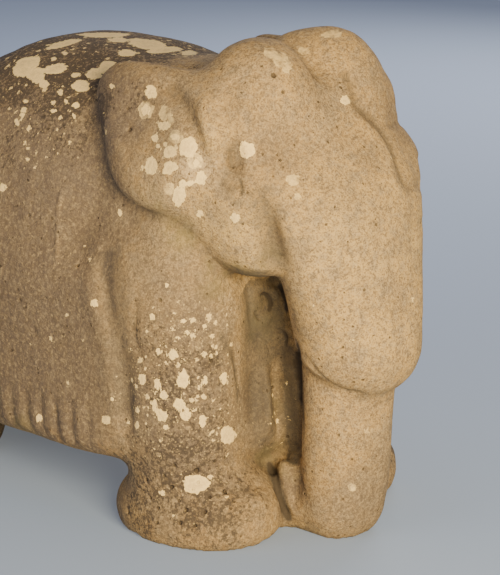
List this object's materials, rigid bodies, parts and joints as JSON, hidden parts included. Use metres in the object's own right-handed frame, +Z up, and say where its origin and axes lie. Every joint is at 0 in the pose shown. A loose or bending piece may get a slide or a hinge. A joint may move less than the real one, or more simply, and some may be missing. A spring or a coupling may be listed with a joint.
{
  "type": "terracotta elephant sculpture",
  "caption": "Standing elephant garden sculpture with a twin-domed head, a lowered trunk reaching the ground and a blanket with a carved fringe, in pale weathered terracotta.",
  "frame": {"origin": "on the ground, under the middle of the sculpture's bounding box", "axes": "+Z up, the animal faces -Y, its left side is +X"},
  "size_m": [0.453, 0.9134, 0.6005],
  "materials": {
    "clay": "pale buff terracotta, unglazed, dry and granular, with grey lichens, dark algae and a little moss"
  },
  "bodies": {
    "root": {"elephant": "clay"}
  },
  "joints": []
}
